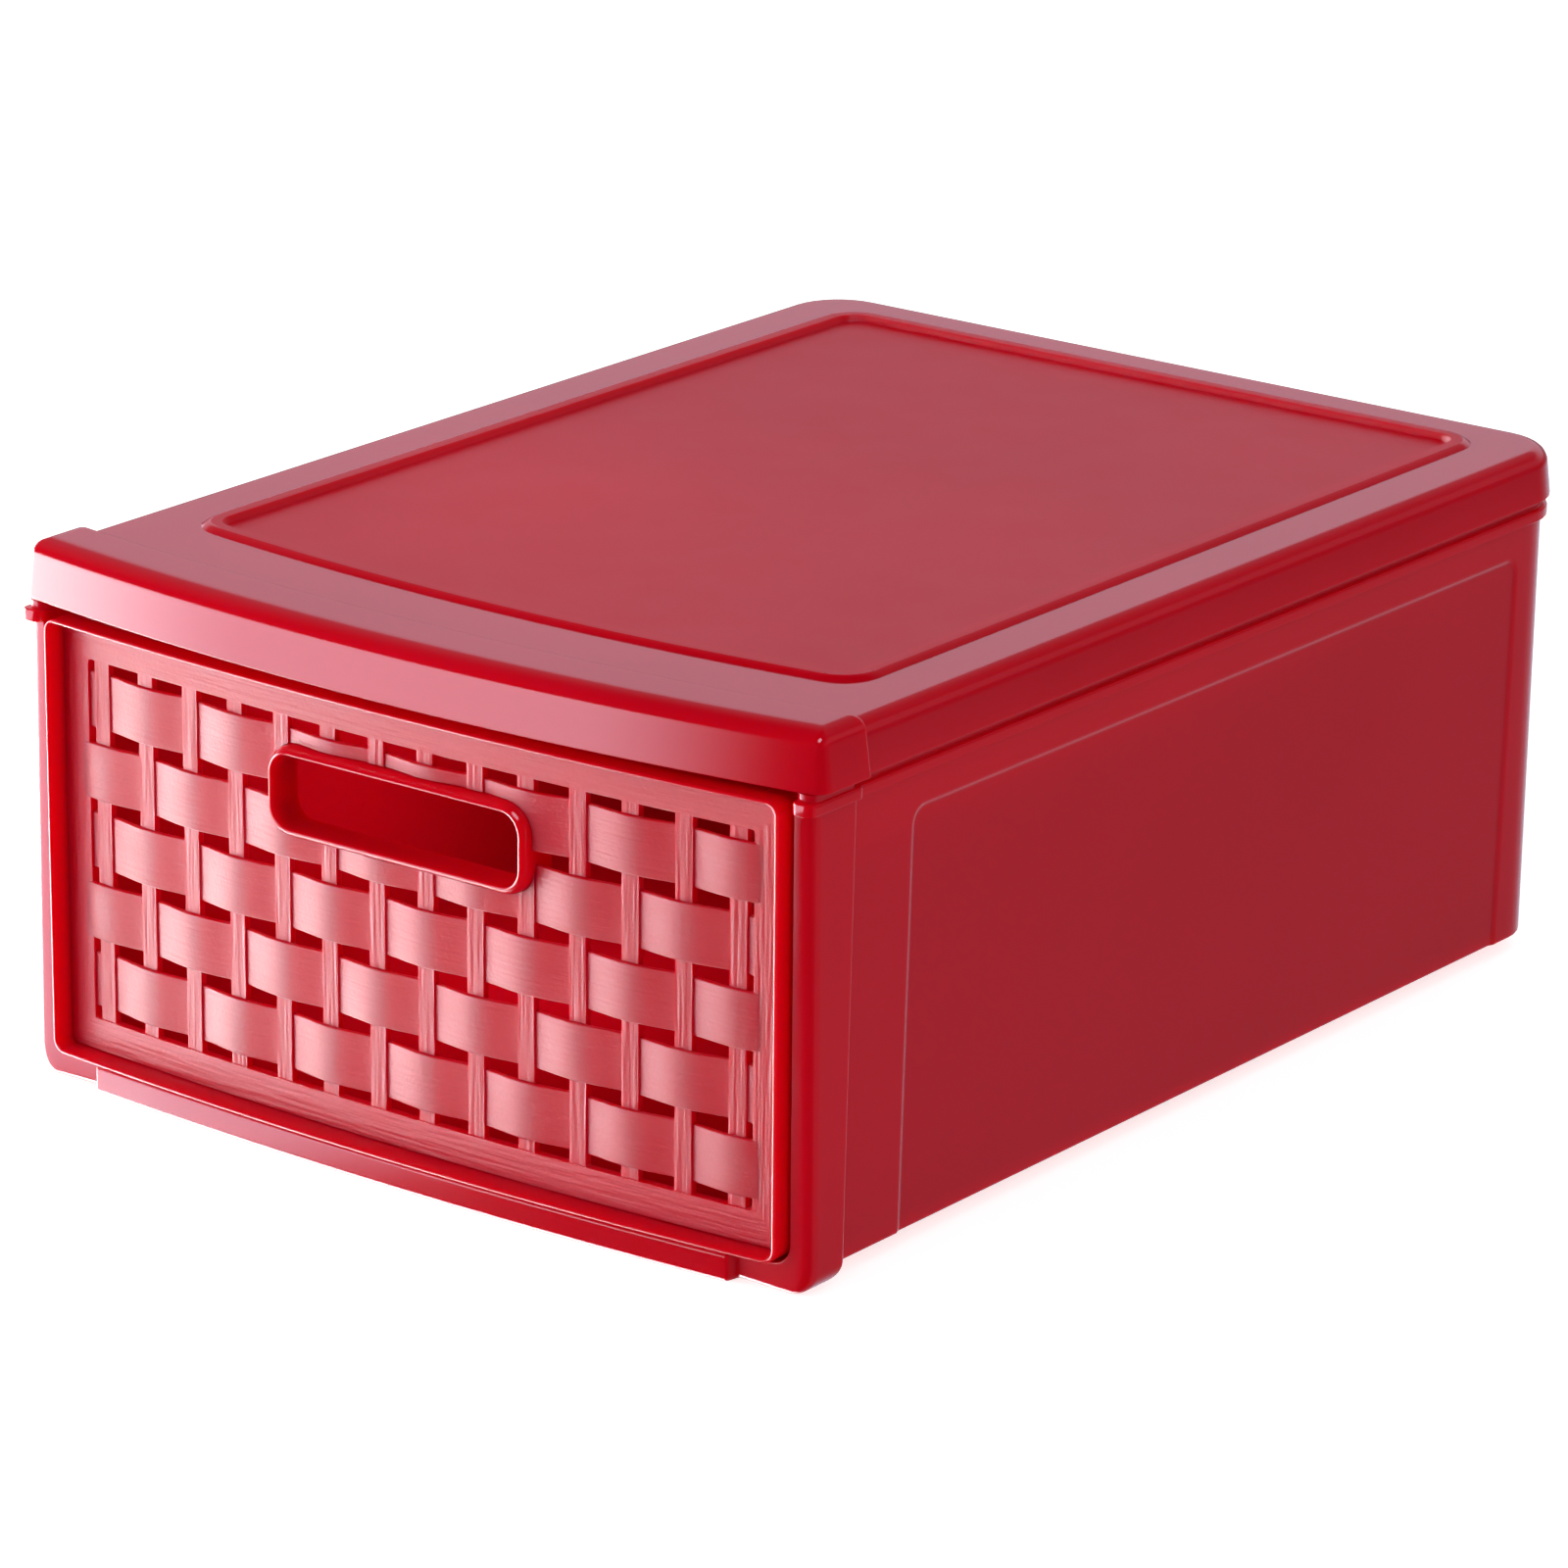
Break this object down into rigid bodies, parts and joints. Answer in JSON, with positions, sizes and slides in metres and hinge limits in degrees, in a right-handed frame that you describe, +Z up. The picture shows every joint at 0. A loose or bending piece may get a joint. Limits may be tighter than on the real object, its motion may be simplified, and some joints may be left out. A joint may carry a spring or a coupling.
{
  "type": "plastic drawer box",
  "caption": "Low moulded plastic box with a lift-off ridged lid and a full-width drawer with a woven-look bowed front and a finger grip.",
  "frame": {"origin": "on the base plane, under the middle of the whole box", "axes": "+Y from the drawer front to the back, +X to the right seen from the front, +Z up"},
  "size_m": [0.282, 0.379, 0.157],
  "materials": {
    "casing_plastic": "glossy moulded red",
    "lid_plastic": "glossy moulded red with a satin sunk panel",
    "drawer_plastic": "glossy moulded red",
    "weave_plastic": "satin red with a fine moulded grain",
    "grip_plastic": "glossy moulded red"
  },
  "bodies": {
    "casing": {"casing": "casing_plastic"},
    "drawer": {"drawer_tub": "drawer_plastic", "woven_front_panel": "weave_plastic", "grip_collar": "grip_plastic"},
    "lid": {"lid": "lid_plastic"}
  },
  "joints": [
    {"name": "drawer_slide", "type": "slide", "parent": "casing", "child": "drawer", "axis": [0, -1, 0], "range_m": [0, 0.3]},
    {"name": "lid_lift", "type": "slide", "parent": "casing", "child": "lid", "axis": [0, 0, 1], "range_m": [0, 0.08]}
  ]
}
